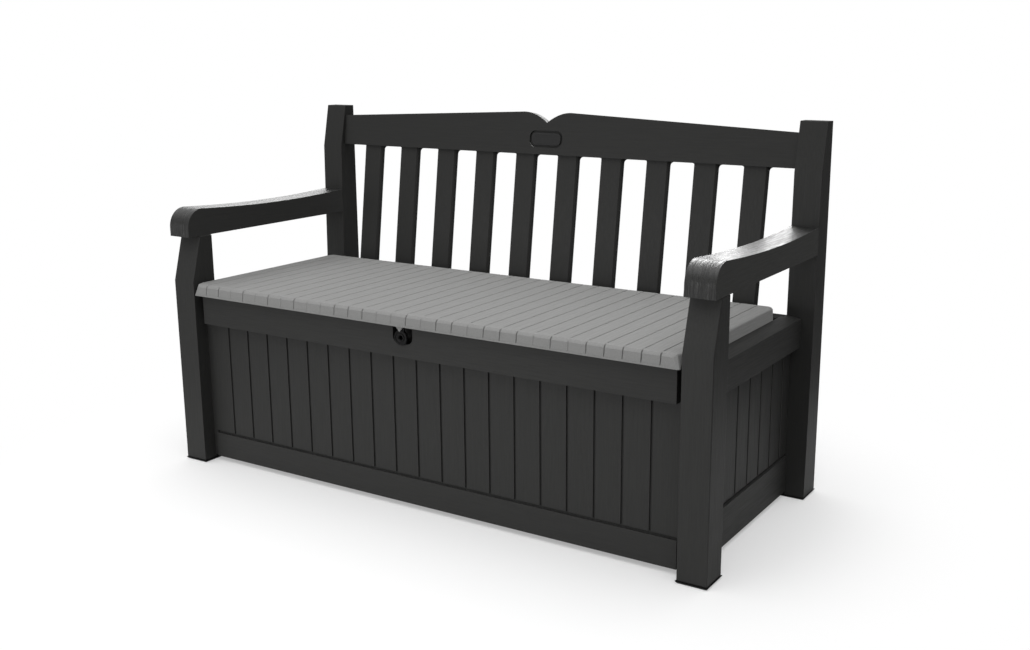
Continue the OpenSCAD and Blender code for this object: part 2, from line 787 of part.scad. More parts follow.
// What one groove takes off the front skirt and the top, from just over
// the lip
groove_rise = 0.5;
groove_foot_z = rim_z + lip_h + groove_rise;
function lid_groove_outline(g) = [
    [lid_front_y - cut, groove_foot_z], [lid_front_y - cut, lid_top_z + cut],
    [lid_rear_y + cut, lid_top_z + cut], [lid_rear_y + cut, lid_top_z - g],
    [lid_front_y + lid_lean + top_round + g / 2, lid_top_z - g],
    [lid_front_y + lid_lean + g, lid_top_z - top_round], [lid_front_y + lip_out + g, groove_foot_z]
];
lid_screw_in = 95;
lid_screw_ys = [liner_front_y + lid_screw_in, liner_rear_y - lid_screw_in];
lid_screw_xs = [for (i = [-1.5:1:1.5]) i * lid_x / 2];
boss_d = 14;
boss_cap = 2;
boss_hole_h = screw_bite + boss_cap;
module lid_shell() {
    color(lid_colour) {
        difference() {
            along_x(-lid_x, lid_x, lid_outline(0));
            along_x(-lid_x + lid_skin, lid_x - lid_skin, lid_outline(lid_skin));
            for (i = [1:lid_planks - 1])
                along_x(i * lid_pitch - lid_x - lid_groove_w / 2, i * lid_pitch - lid_x + lid_groove_w / 2,
                        lid_groove_outline(lid_groove_deep));
            for (x = hinge_places)
                block([x - knuckle_l / 2 - knuckle_gap, lid_rear_y - lid_skin - cut, rim_z - cut],
                      [x + knuckle_l / 2 + knuckle_gap, lid_rear_y + cut, leaf_z + leaf_t + leaf_clear]);
        }
        for (x = lid_screw_xs, y = lid_screw_ys)
            translate([x, y, rim_z + lid_skin]) difference() {
                cylinder(d = boss_d, h = lid_t - 1.5 * lid_skin);
                screw_hole(boss_hole_h);
            }
        along_y(lid_front_y, lid_front_y + lid_skin, [
            [lock_x - hasp_ear_x, rim_z + cut], [lock_x + hasp_ear_x, rim_z + cut],
            [lock_x, rim_z - hasp_notch]
        ]);
    }
}

// LID LINER: the plate that closes the shell from below, with a grid of
// ribs inside the rim and the lid's own knuckles
module hasp_screw_at() {
    translate([lock_x, (hasp_back_y + flange_y) / 2, rim_z]) children();
}
module lid_liner() {
    rib_x = side_in_x - 2 * rib_t;
    rib_y0 = in_front_y + 2 * rib_t;
    rib_y1 = lip_front_y - 2 * rib_t;
    nx = floor(rib_x / lid_rib_pitch);
    ny = floor((rib_y1 - rib_y0) / lid_rib_pitch);
    color(lid_colour) difference() {
        union() {
            block([-liner_x, liner_front_y, rim_z], [liner_x, liner_rear_y, rim_z + lid_skin]);
            for (i = [-nx:nx])
                block([i * lid_rib_pitch - rib_t / 2, rib_y0, rim_z - lid_rib_h],
                      [i * lid_rib_pitch + rib_t / 2, rib_y1, rim_z + cut]);
            for (j = [0:ny])
                block([-rib_x, rib_y0 + (rib_y1 - rib_y0 - rib_t) * j / ny, rim_z - lid_rib_h],
                      [rib_x, rib_y0 + (rib_y1 - rib_y0 - rib_t) * j / ny + rib_t, rim_z + cut]);
            for (x = hinge_places) {
                knuckle(x);
                block([x - knuckle_l / 2, liner_rear_y - 2 * leaf_t, leaf_z],
                      [x + knuckle_l / 2, axis_y, leaf_z + leaf_t]);
            }
            hasp_screw_at() cylinder(d = boss_d, h = lid_skin + boss_hole_h + boss_cap);
        }
        pin_bore();
        for (x = lid_screw_xs, y = lid_screw_ys)
            translate([x, y, rim_z]) screw_hole(lid_skin + cut);
        hasp_screw_at() screw_hole(lid_skin + boss_hole_h);
    }
}

// REINFORCING BARS: square steel tubes along the lid
bar_x = lid_x - 2 * lid_skin - boss_d;
module lid_bar(y) {
    color(steel_colour) difference() {
        block([-bar_x, y - bar_w / 2, rim_z + lid_skin], [bar_x, y + bar_w / 2, rim_z + lid_skin + bar_h]);
        block([-bar_x - cut, y - bar_w / 2 + bar_wall, rim_z + lid_skin + bar_wall],
              [bar_x + cut, y + bar_w / 2 - bar_wall, rim_z + lid_skin + bar_h - bar_wall]);
    }
}
module lid_bar_front() { lid_bar(lid_screw_ys[0] - bar_w / 2 - boss_d); }
module lid_bar_rear() { lid_bar(lid_screw_ys[1] + bar_w / 2 + boss_d); }

// LOCK: a hasp that hangs from the lid, and an eye in the pocket behind it
module lock_hole() {
    translate([lock_x, hasp_back_y - lock_t - cut, lock_z]) rotate([-90, 0, 0])
        cylinder(d = lock_hole_d, h = 4 * lock_t);
}
module lock_hasp() {
    color(cap_colour) difference() {
        union() {
            along_y(hasp_back_y - lock_t, hasp_back_y, concat(
                [[lock_x + hasp_ear_x, rim_z], [lock_x + hasp_ear_x / 2, rim_z],
                 [lock_x, rim_z - hasp_notch],
                 [lock_x - hasp_ear_x / 2, rim_z], [lock_x - hasp_ear_x, rim_z]],
                [for (i = [0:hasp_steps]) let (a = 120 + 300 * i / hasp_steps)
                    [lock_x + hasp_r * cos(a), lock_z + hasp_r * sin(a)]]
            ));
            block([lock_x - hasp_ear_x, hasp_back_y - cut, rim_z - flange_t],
                  [lock_x + hasp_ear_x, flange_y, rim_z]);
        }
        lock_hole();
        hasp_screw_at() translate([0, 0, -flange_t]) screw_hole(2 * flange_t);
    }
}
module lock_eye() {
    color(cap_colour) difference() {
        union() {
            translate([lock_x, eye_front_y + lock_t, lock_z]) rotate([90, 0, 0])
                cylinder(r = eye_r, h = lock_t);
            block([lock_x - eye_post_w / 2, eye_front_y, pocket_bottom_z],
                  [lock_x + eye_post_w / 2, band_front_y + pocket_deep,
                   lock_z - lock_hole_d / 2 - head_clear]);
        }
        lock_hole();
    }
}

// SCREWS: each group is a row of separate solids
module panel_screws() {
    color(steel_colour) {
        end_screws(leg_in_x, band_front_y + panel_screw_in);
        left_of() end_screws(leg_in_x, band_front_y + panel_screw_in);
        end_screws(post_in_x, band_back_y - panel_screw_in);
        left_of() end_screws(post_in_x, band_back_y - panel_screw_in);
        side_screws();
        left_of() side_screws();
    }
}
module armrest_screws() {
    color(steel_colour) {
        arm_screws();
        left_of() arm_screws();
    }
}
module rail_screws() {
    color(steel_colour) {
        rail_screw();
        left_of() rail_screw();
    }
}
module hasp_screw() {
    color(steel_colour) hasp_screw_at() translate([0, 0, -flange_t]) screw(flange_t + lid_skin + screw_bite);
}
module lid_screws() {
    color(steel_colour) for (x = lid_screw_xs, y = lid_screw_ys)
        translate([x, y, rim_z]) screw(lid_skin + screw_bite);
}

front_leg_left();
front_leg_right();
rear_post_left();
rear_post_right();
foot_cap_front_left();
foot_cap_front_right();
foot_cap_rear_left();
foot_cap_rear_right();
armrest_left();
armrest_right();
front_panel();
back_panel();
side_panel_left();
side_panel_right();
floor_panel();
hinge_rail();
backrest();
name_plate();
lock_eye();
hinge_pin_left();
hinge_pin_middle();
hinge_pin_right();
panel_screws();
armrest_screws();
rail_screws();
lid_shell();
lid_liner();
lid_bar_front();
lid_bar_rear();
lock_hasp();
lid_screws();
hasp_screw();
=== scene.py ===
# %% [markdown]
# An outdoor storage bench in moulded plastic: a planked chest under a hinged
# seat lid, two arms, and a slatted back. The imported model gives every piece
# at its real size and place, in metres. This script adds what the eye sees:
# rounded edges, soft seams, wood grain in the plastic, and a soft studio.

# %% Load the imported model
import math

import bmesh
import bpy
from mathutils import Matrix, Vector


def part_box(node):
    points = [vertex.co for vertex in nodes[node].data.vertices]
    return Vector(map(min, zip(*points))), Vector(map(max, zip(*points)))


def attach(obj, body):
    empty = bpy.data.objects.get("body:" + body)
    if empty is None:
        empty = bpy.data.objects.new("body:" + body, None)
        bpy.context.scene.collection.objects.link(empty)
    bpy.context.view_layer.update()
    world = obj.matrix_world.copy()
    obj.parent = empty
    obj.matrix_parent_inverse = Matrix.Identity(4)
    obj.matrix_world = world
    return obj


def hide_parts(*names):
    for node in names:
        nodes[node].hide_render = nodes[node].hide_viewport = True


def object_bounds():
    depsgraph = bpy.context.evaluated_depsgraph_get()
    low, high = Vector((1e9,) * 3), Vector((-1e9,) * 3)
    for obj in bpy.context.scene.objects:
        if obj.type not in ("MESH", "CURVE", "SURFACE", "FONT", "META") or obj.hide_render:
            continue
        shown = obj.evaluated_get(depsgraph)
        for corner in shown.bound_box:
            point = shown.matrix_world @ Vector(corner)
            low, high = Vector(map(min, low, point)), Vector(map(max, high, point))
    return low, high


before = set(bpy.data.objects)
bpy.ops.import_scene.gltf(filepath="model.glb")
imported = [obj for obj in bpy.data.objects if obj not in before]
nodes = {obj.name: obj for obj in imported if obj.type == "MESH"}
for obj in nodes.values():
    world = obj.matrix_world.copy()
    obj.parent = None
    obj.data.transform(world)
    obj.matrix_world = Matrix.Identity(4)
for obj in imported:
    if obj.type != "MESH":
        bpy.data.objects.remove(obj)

cad_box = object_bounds()
low, high = (Vector(corner) for corner in cad_box)
print("model", [round(v, 4) for v in low], "to", [round(v, 4) for v in high], "with", len(nodes), "nodes")

# %% [markdown]
# The camera stands to the right of the bench, a little above its arms. It
# could be placed by eye, but then no edge would fall quite right. So its
# place, angles and focal length were found by fitting a pinhole camera to
# the bench's corners in the photograph. A pinhole whose axis isn't in the
# middle of the picture is a shifted lens in Blender.

# %% Camera
PICTURE_W, PICTURE_H = 1030, 650
FOCAL_PX = 1167.785
AXIS_PX = (553.568, 318.796)
SENSOR_MM = 36
CAMERA_PLACE = (1.505619, -2.16856, 0.993239)
LOOK_DOWN, LOOK_LEFT = math.radians(13.097), math.radians(31.405)
camera_data = bpy.data.cameras.new("camera")
camera_data.sensor_width = SENSOR_MM
camera_data.lens = SENSOR_MM * FOCAL_PX / PICTURE_W
camera_data.shift_x = (PICTURE_W / 2 - AXIS_PX[0]) / PICTURE_W
camera_data.shift_y = (AXIS_PX[1] - PICTURE_H / 2) / PICTURE_W
camera = bpy.data.objects.new("camera", camera_data)
camera.location = CAMERA_PLACE
camera.rotation_euler = (math.radians(90) - LOOK_DOWN, 0, LOOK_LEFT)
bpy.context.scene.collection.objects.link(camera)
bpy.context.scene.camera = camera
print("lens", round(camera_data.lens, 2), "mm")

# %% [markdown]
# A shader is easier to read as sums than as boxes and wires. The first
# class wraps one output socket, so that 1 - mask or grain * 0.2 adds its
# Math node by itself. The second class is a material under construction:
# its method node adds any other node, and the rest are short cuts.

# %% Shader helpers


class Wire:
    """An output socket that takes part in Python sums."""

    def __init__(self, finish, socket):
        self.finish = finish
        self.socket = socket

    def sum(self, operation, a, b):
        return self.finish.node("ShaderNodeMath", {"operation": operation}, {0: a, 1: b})

    def __add__(self, other):
        return self.sum("ADD", self, other)

    __radd__ = __add__

    def __sub__(self, other):
        return self.sum("SUBTRACT", self, other)

    def __rsub__(self, other):
        return self.sum("SUBTRACT", other, self)

    def __mul__(self, other):
        return self.sum("MULTIPLY", self, other)

    __rmul__ = __mul__


def grey(level):
    """A colour that is the same in red, green and blue."""
    return (level, level, level, 1)


class Finish:
    """A node tree under construction, of a material or of the world."""

    def __init__(self, owner):
        owner.use_nodes = True
        self.owner = owner
        self.tree = owner.node_tree

    def node(self, kind, settings=None, inputs=None, output=0):
        """Add a node, give it its settings, and fill in or wire its inputs."""
        made = self.tree.nodes.new(kind)
        for key, value in (settings or {}).items():
            if key == "stops":
                ramp = made.color_ramp.elements
                while len(ramp) < len(value):
                    ramp.new(0.5)
                for stop, (place, level) in zip(ramp, value):
                    stop.position = place
                    stop.color = grey(level)
            else:
                setattr(made, key, value)
        for key, value in (inputs or {}).items():
            self.join(made.inputs[key], value)
        return Wire(self, made.outputs[output])

    def join(self, socket, value):
        """Wire a socket, or set it to a plain value."""
        if isinstance(value, Wire):
            self.tree.links.new(value.socket, socket)
        else:
            socket.default_value = value

    def surface(self, **values):
        """Fill in inputs of the main shader by their names."""
        shader = self.tree.nodes["Principled BSDF"]
        for key, value in values.items():
            self.join(shader.inputs[key.replace("_", " ")], value)

    def mix(self, factor, first, last):
        """A colour between two colours."""
        return self.node("ShaderNodeMix", {"data_type": "RGBA"},
                         {"Factor": factor, 6: first, 7: last}, output=2)


def linear(level):
    """The light that a picture's value from 0 to 255 stands for, by the
    curve that pictures are stored with."""
    share = level / 255
    return ((share + 0.055) / 1.055) ** 2.4 if level > 10 else share / 12.92


def colour(rgb, brighter=1):
    """A linear colour from a picture's red, green and blue."""
    return tuple(linear(level) * brighter for level in rgb) + (1,)


# %% [markdown]
# The plastic is moulded with a shallow wood grain: long fine scratches that
# run along each part. They could be modelled, but they are far finer than
# any mesh should be. A noise texture draws them when its space is fine
# across the grain and slow along it. Object coordinates hold the grain on
# the part, also when the lid turns. The grain shows in three ways: as a low
# bump, as streaks in the gloss, and as a faint change of tone.

# %% Grain
X, Y, Z = 0, 1, 2
FINE_PER_M = 380
SLOW_PER_M = 14
PORE_PER_M = 900
PORES_SHORTER = 4
SCRATCH_STOPS = [(0.38, 0), (0.62, 1)]
SCRATCH_SHARE, PORE_SHARE = 0.7, 0.3
RELIEF_M = 0.0004


def grain(finish, across, fine, slow, detail=5):
    """Noise from 0 to 1 that is fine along the axes in across."""
    place = finish.node("ShaderNodeTexCoord", output="Object")
    scale = [fine if axis in across else slow for axis in (X, Y, Z)]
    squeezed = finish.node("ShaderNodeVectorMath", {"operation": "MULTIPLY"}, {0: place, 1: scale})
    return finish.node("ShaderNodeTexNoise", {},
                       {"Vector": squeezed, "Scale": 1, "Detail": detail, "Roughness": 0.6})


def grained_plastic(name, rgb, across, roughness=0.5, gloss=0.25, bump=0.4, tone=0.06, streaks=0.1,
                    fine=FINE_PER_M, slow=SLOW_PER_M):
    """Matte moulded plastic whose grain is fine along the axes in across."""
    finish = Finish(bpy.data.materials.new(name))
    broad = grain(finish, across, fine, slow)
    pores = grain(finish, across, PORE_PER_M, slow * PORES_SHORTER, detail=2)
    scratches = finish.node("ShaderNodeValToRGB", {"stops": SCRATCH_STOPS}, {"Fac": broad})
    height = scratches * SCRATCH_SHARE + pores * PORE_SHARE
    relief = finish.node("ShaderNodeBump", {},
                         {"Height": height, "Strength": 0.5, "Distance": RELIEF_M * bump})
    finish.surface(Base_Color=finish.mix(height, colour(rgb, 1 - tone), colour(rgb, 1 + tone)),
                   Roughness=roughness + (0.5 - height) * streaks, Normal=relief, Specular_IOR_Level=gloss)
    print("finish", name)
    return finish.owner


# %% [markdown]
# The frame is one dark warm grey. Its grain runs along each part, so there
# is one material for each direction. One material with turned coordinates
# would do as well, but three plain ones are easier to follow. The foot rail
# of the back is the same plastic, but lies in shade in the photograph. The
# light here shades it less, so its material is darker, as painted shade,
# and duller.

# %% Frame plastic
FRAME_RGB = (46, 46, 45)
frame_x = grained_plastic("frame plastic, grain along the width", FRAME_RGB, (Y, Z))
frame_y = grained_plastic("frame plastic, grain along the depth", FRAME_RGB, (X, Z))
frame_z = grained_plastic("frame plastic, upright grain", FRAME_RGB, (X, Y))
# The foot rail's darker colour is painted shade.
foot_rail_painted_shade = grained_plastic("frame plastic, dull foot rail", (34, 34, 33), (Y, Z), roughness=0.8, gloss=0.03)

# %% [markdown]
# On top of an arm the grain follows the curve over the nose, so there it is
# fine only along X. The surface is glossier there, which gives the
# near-white shine of the photograph, and the nose has the coarsest streaks.
# The arm's sides are nearly matt. The real arm is the same plastic as the
# legs, so these colours are painted light and shade, tuned to the
# photograph's tones under the lamps below: the top and nose darker as
# painted shade where a lamp adds shine, and the sides lighter as painted
# light.

# %% Arm finishes, with painted light and shade
# The top and nose are darker and the sides lighter than the frame: painted shade and painted light on one
# plastic.
arm_top_painted_shade = grained_plastic("frame plastic, grain over the arm", (31, 31, 30), (X,), roughness=0.42,
                          gloss=0.5, bump=0.9, streaks=0.35, fine=520, slow=16)
arm_nose_painted_shade = grained_plastic("frame plastic, grain over the nose", (37, 37, 36), (X,), roughness=0.42,
                           gloss=0.5, bump=3.4, tone=0.3, streaks=0.45, fine=300, slow=16)
arm_side_painted_light = grained_plastic("frame plastic, sides of the arm", (55, 55, 54), (X, Z), gloss=0.08)

# %% [markdown]
# The lid is a lighter grey with a fainter grain. The foot caps and the
# lock are black and a little shinier, and the plate on the top rail is
# nearly as dark. All are the same plastic with other numbers, so the same
# function makes them.

# %% Lid, caps and plate
lid_y = grained_plastic("lid plastic, grain along the depth", (138, 138, 137), (X, Z), roughness=0.68,
                        gloss=0.3, bump=0.8, tone=0.05, streaks=0.3)
black_satin = grained_plastic("black satin plastic", (16, 16, 16), (X, Y), roughness=0.45, gloss=0.18,
                              bump=0.3)
plate_plastic = grained_plastic("plate plastic", (38, 38, 38), (Y, Z), roughness=0.45, gloss=0.3)

# %% [markdown]
# The screws, hinge pins and bars are zinc-plated steel. Zinc shows faint
# clouds, so one coarse noise varies both the colour and the gloss.

# %% Steel
CLOUDS_PER_M = 60
DARK_ZINC, LIGHT_ZINC = (0.46, 0.47, 0.48, 1), (0.62, 0.63, 0.62, 1)
ZINC_ROUGHNESS, ZINC_CLOUDS = 0.28, 0.2
steel_finish = Finish(bpy.data.materials.new("zinc-plated steel"))
cloud = grain(steel_finish, (), CLOUDS_PER_M, CLOUDS_PER_M, detail=3)
steel_finish.surface(Base_Color=steel_finish.mix(cloud, DARK_ZINC, LIGHT_ZINC),
                     Metallic=1.0, Roughness=ZINC_ROUGHNESS + cloud * ZINC_CLOUDS)
steel = steel_finish.owner
print("finish", steel.name)

# %% [markdown]
# No moulded edge is sharp: each has a small radius that catches a thin line
# of light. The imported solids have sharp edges, so each visible piece gets a
# copy whose flat faces are joined up first, and whose long edges are then
# bevelled. A subdivision surface would round them too, but it would pull
# the flat faces out of shape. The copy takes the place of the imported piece.
# Where the real piece has more form than the solid, a function changes the
# copy first. It finds corners by their place, to within the length NEAR.

# %% Softened copies
SHARP = math.radians(28)
FLAT = math.radians(0.6)
SAME_POINT = 0.00002
NEAR = 0.0004
BEVEL_STEPS = 3
THIN_R, SMALL_R, PANEL_R = 0.0006, 0.0008, 0.0012
POST_R, BACK_R, ARM_R = 0.0022, 0.0025, 0.0035


def joined_copy(node):
    """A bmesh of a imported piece, with its flat faces in one piece each."""
    mesh = bmesh.new()
    mesh.from_mesh(nodes[node].data)
    bmesh.ops.remove_doubles(mesh, verts=mesh.verts, dist=SAME_POINT)
    bmesh.ops.dissolve_limit(mesh, angle_limit=FLAT, verts=mesh.verts, edges=mesh.edges)
    return mesh


def make_object(name, mesh, materials):
    """A new object in the scene, from a bmesh."""
    data = bpy.data.meshes.new(name)
    mesh.to_mesh(data)
    mesh.free()
    for material in materials:
        data.materials.append(material)
    made = bpy.data.objects.new(name, data)
    bpy.context.scene.collection.objects.link(made)
    return made


def soften(node, radius, materials, pick=None, shape=None, add=None, shortest=0.004, body="bench"):
    """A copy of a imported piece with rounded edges. pick gives a face its
    material's number from its centre and normal, shape changes the mesh
    before edges longer than shortest are marked for rounding, and add puts
    in forms that stay unbevelled."""
    mesh = joined_copy(node)
    if shape:
        shape(mesh)
    weight = mesh.edges.layers.float.new("bevel_weight_edge")
    rounded = 0
    for edge in mesh.edges:
        if len(edge.link_faces) == 2 and edge.calc_face_angle(0) > SHARP:
            if edge.calc_length() > shortest:
                edge[weight] = 1
                rounded += 1
            else:
                edge.smooth = False
    if add:
        add(mesh)
    for face in mesh.faces:
        face.smooth = True
        if pick:
            face.material_index = pick(face.calc_center_median(), face.normal)
    made = make_object(node + "_skin", mesh, materials)
    bevel = made.modifiers.new("rounded edges", "BEVEL")
    bevel.limit_method = "WEIGHT"
    bevel.width = radius
    bevel.segments = BEVEL_STEPS
    even = made.modifiers.new("flat faces stay flat", "WEIGHTED_NORMAL")
    even.keep_sharp = True
    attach(made, body)
    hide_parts(node)
    print(node, "has", rounded, "rounded edges")
    return made


# %% [markdown]
# Three small tools shape such a copy. The first splits every face along a
# plane, so that there are new corners to move. The others add closed forms:
# a bar between two equal outlines, and a ring turned round a hole.

# %% Cuts, bars and rings


def split(mesh, place, way, reach=0.00001, **more):
    """Split the mesh along a plane, and return what lies in the plane."""
    everything = mesh.verts[:] + mesh.edges[:] + mesh.faces[:]
    done = bmesh.ops.bisect_plane(mesh, geom=everything, dist=reach, plane_co=place, plane_no=way, **more)
    return done["geom_cut"]


def add_bar(mesh, first, last):
    """A closed bar between two outlines with the same number of points."""
    first = [mesh.verts.new(point) for point in first]
    last = [mesh.verts.new(point) for point in last]
    faces = [mesh.faces.new(first), mesh.faces.new(last[::-1])]
    for i in range(len(first)):
        faces.append(mesh.faces.new((first[i - 1], last[i - 1], last[i], first[i])))
    bmesh.ops.recalc_face_normals(mesh, faces=faces)


def add_ring(mesh, centre, profile, steps=48):
    """A closed ring round the Y axis through centre, from a profile of
    radii and heights over centre towards the front."""
    loops = []
    for i in range(steps):
        turn = 2 * math.pi * i / steps
        across, up = math.cos(turn), math.sin(turn)
        loops.append([mesh.verts.new((centre.x + r * across, centre.y - h, centre.z + r * up))
                      for r, h in profile])
    faces = []
    for i in range(steps):
        for j in range(len(profile)):
            corners = (loops[i - 1][j - 1], loops[i - 1][j], loops[i][j], loops[i][j - 1])
            faces.append(mesh.faces.new(corners))
    bmesh.ops.recalc_face_normals(mesh, faces=faces)


# %% [markdown]
# The legs, posts and arms are plain boxes with leaning faces, so rounded
# edges are all they need. An arm's top, nose and sides differ in gloss and
# in painted light and shade, and the normal of a face tells which it is. A
# foot cap's rim flares out over its sole, so the sole's corners are drawn in.

# %% Legs, posts, arms and feet
SOLE_IN = 0.004
ARM_SIDE, ARM_UNDER, ARM_NOSE = 0.7, 0.5, 0.15


def flare(mesh):
    """Draw a foot cap's sole in, so that its rim flares out over it."""
    sole = [vert for vert in mesh.verts if vert.co.z < NEAR]
    middle = sum((vert.co for vert in sole), Vector()) / len(sole)
    for vert in sole:
        vert.co.x += math.copysign(SOLE_IN, middle.x - vert.co.x)
        vert.co.y += math.copysign(SOLE_IN, middle.y - vert.co.y)


def arm_finish(at, way):
    """0 for an arm's top, 1 for its sides and underside, 2 for its nose."""
    if abs(way.x) > ARM_SIDE or way.z < -ARM_UNDER:
        return 1
    return 2 if way.y < -ARM_NOSE else 0


posts, arms = [], []
for side in ("left", "right"):
    soften("front_leg_" + side, POST_R, [frame_z])
    posts.append(soften("rear_post_" + side, POST_R, [frame_z]))
    arms.append(soften("armrest_" + side, ARM_R, [arm_top_painted_shade, arm_side_painted_light, arm_nose_painted_shade],
                       pick=arm_finish, shortest=0.0))
    for end in ("front_", "rear_"):
        soften("foot_cap_" + end + side, SMALL_R, [black_satin], shape=flare)

# %% [markdown]
# The chest's four panels look like upright planks between two bands, so the
# grain turns from one to the other. The grooves between the planks look
# dark from every side in the photograph. They could be painted dark, but a
# deeper groove shades itself, so they are cut deeper in the copy, by less
# than the wall behind them.

# %% Chest panels
PLANK_TOP = 0.349
BAND_TOP_LOW = 0.072
SIDE_BAND_TOP_LOW = 0.097
GROOVE_FLOOR_IN = 0.022
GROOVE_DEEPER = 0.0015


def panel_shape(axis, face, inward):
    """A function that sinks the floor of the grooves of one panel, whose
    band stands at face on the given axis."""
    def sink(mesh):
        """Move every corner that lies on the floor of a groove."""
        floor_at = face + inward * GROOVE_FLOOR_IN
        floors = [vert for vert in mesh.verts if abs(vert.co[axis] - floor_at) < NEAR]
        for vert in floors:
            vert.co[axis] += inward * GROOVE_DEEPER
        print("groove corners", len(floors))
    return sink


for panel, low_top, axis, end, inward, along in (
        ("front_panel", BAND_TOP_LOW, Y, 0, 1, frame_x), ("back_panel", BAND_TOP_LOW, Y, 1, -1, frame_x),
        ("side_panel_left", SIDE_BAND_TOP_LOW, X, 0, 1, frame_y),
        ("side_panel_right", SIDE_BAND_TOP_LOW, X, 1, -1, frame_y)):
    soften(panel, PANEL_R, [frame_z, along], shortest=0.002,
           pick=lambda at, way, low_top=low_top: int(at.z > PLANK_TOP or at.z < low_top),
           shape=panel_shape(axis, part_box(panel)[end][axis], inward))
soften("floor_panel", THIN_R, [frame_x])
soften("hinge_rail", SMALL_R, [frame_x])

# %% [markdown]
# The backrest is one moulding, raked back by 7.7 degrees. Where a slat meets
# the top rail, a small cove fills the rear part of the corner. A wider bevel
# would round the front part too, which is square in the photograph, so each
# cove is a bar of its own. Beside the posts the foot rail is lower.

# %% Backrest coves and foot rail
RAIL_LOW = 0.738
RAKE = math.radians(7.7)
leaning_up = Vector((0, math.sin(RAKE), math.cos(RAKE)))
leaning_front = Vector((0, -math.cos(RAKE), math.sin(RAKE)))
COVE_R = 0.009
COVE_STEPS = 5
COVE_SINK = 0.0005
COVE_START = 0.6
COVE_ZONE = RAIL_LOW - 0.01
FACES_ASIDE, FACES_DOWN = 0.99, 0.9
SLAT_EDGE = 0.006
SLATS_END = 0.6
FOOT_RAIL_TOP = 0.427
FOOT_END, FOOT_RAMP = 0.594, 0.004
FOOT_END_DROP = 0.0135


def add_coves(mesh):
    """Fill the corners between the slats and the rail above them."""
    corners = []
    for edge in mesh.edges:
        if len(edge.link_faces) == 2 and min(vert.co.z for vert in edge.verts) > COVE_ZONE:
            above, beside = sorted(edge.link_faces, key=lambda face: abs(face.normal.x))
            a, b = sorted((vert.co.copy() for vert in edge.verts), key=lambda point: point.y)
            if (abs(beside.normal.x) > FACES_ASIDE and above.normal.z < -FACES_DOWN
                    and (b - a).length > SLAT_EDGE and abs(a.x) < SLATS_END):
                corners.append((a.lerp(b, COVE_START), b, beside.normal.copy()))
    for a, b, out in corners:
        outline = [out * -COVE_SINK + leaning_up * COVE_SINK, out * COVE_R + leaning_up * COVE_SINK]
        for i in range(COVE_STEPS + 1):
            turn = math.pi / 2 * i / COVE_STEPS
            outline.append(out * COVE_R * (1 - math.sin(turn)) - leaning_up * COVE_R * (1 - math.cos(turn)))
        outline.append(out * -COVE_SINK - leaning_up * COVE_R)
        add_bar(mesh, [a + offset for offset in outline], [b + offset for offset in outline])
    print("coves", len(corners))


def lower_foot_ends(mesh):
    """Drop the top of the foot rail beside the posts."""
    for side in (-1, 1):
        for end in (FOOT_END, FOOT_END + FOOT_RAMP):
            split(mesh, (side * end, 0, 0), (1, 0, 0))
    lowered = [vert for vert in mesh.verts
               if abs(vert.co.x) > FOOT_END + FOOT_RAMP - NEAR and abs(vert.co.z - FOOT_RAIL_TOP) < NEAR]
    for vert in lowered:
        vert.co.z -= FOOT_END_DROP
    print("foot rail corners lowered", len(lowered))


# %% [markdown]
# The plate on the top rail stays bare. It lies in a recess with a dark gap
# all round, and has a raised border. The solid has both the recess and the
# plate, a little too large and too shallow, so their corners are moved in
# the plane of the leaning rail, and the border is an inset face.

# %% Plate and its recess
RECESS_HALF, RECESS_REACH = (0.0485, 0.0215), 0.002
RECESS_SCALE, RECESS_LEVELS = (0.965, 0.95), [(-0.001, -0.0045), (0.001, 0.0)]
PLATE_SCALE, PLATE_LEVELS = (0.89, 0.79), [(0.0, -0.0046), (0.002, -0.0004)]
BORDER_W, BORDER_H = 0.0035, 0.0008
plate_low, plate_high = (Vector(corner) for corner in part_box("name_plate"))
plate_middle = (plate_low + plate_high) / 2


def resize_at_plate(mesh, scale, levels):
    """Scale what lies round the plate's middle, and move its levels: each
    pair in levels is a highest old depth and the new one."""
    width, height = scale
    moved = 0
    for vert in mesh.verts:
        arm = vert.co - plate_middle
        up, out = arm.dot(leaning_up), arm.dot(leaning_front)
        if abs(arm.x) < RECESS_HALF[0] and abs(up) < RECESS_HALF[1] and abs(out) < RECESS_REACH:
            new_out = next(new for old, new in levels if out < old)
            vert.co = (plate_middle + Vector((arm.x * width, 0, 0)) + leaning_up * up * height
                       + leaning_front * new_out)
            moved += 1
    print("moved round the plate", moved)


def shape_backrest(mesh):
    """A recess a little smaller and deeper than the solid's, and lower ends
    of the foot rail."""
    resize_at_plate(mesh, RECESS_SCALE, RECESS_LEVELS)
    lower_foot_ends(mesh)


def shape_plate(mesh):
    """A plate just below the rail's face, with a raised border."""
    resize_at_plate(mesh, PLATE_SCALE, PLATE_LEVELS)
    towards_front = [face for face in mesh.faces if face.normal.dot(leaning_front) > 0.9]
    largest = max(towards_front, key=lambda face: face.calc_area())
    bmesh.ops.inset_region(mesh, faces=[largest], thickness=BORDER_W, depth=-BORDER_H)


def backrest_finish(at, way):
    """0 for the slats, 1 for the top rail, 2 for the foot rail."""
    return 2 if at.z < FOOT_RAIL_TOP + NEAR else int(at.z > RAIL_LOW)


backrest = soften("backrest", BACK_R, [frame_z, frame_x, foot_rail_painted_shade], shortest=0.002,
                  pick=backrest_finish, shape=shape_backrest, add=add_coves)
soften("name_plate", THIN_R, [plate_plastic], shape=shape_plate, shortest=0.0)

# %% [markdown]
# The lid is one shell with 32 planks. Its seams look soft and uneven in the
# photograph, so the square grooves of the solid become V grooves of
# different depths. A bump could draw them, but it would leave the skirt's
# edge straight. The mesh is split along every seam first, because a bevel
# needs small faces on a long grooved skirt.

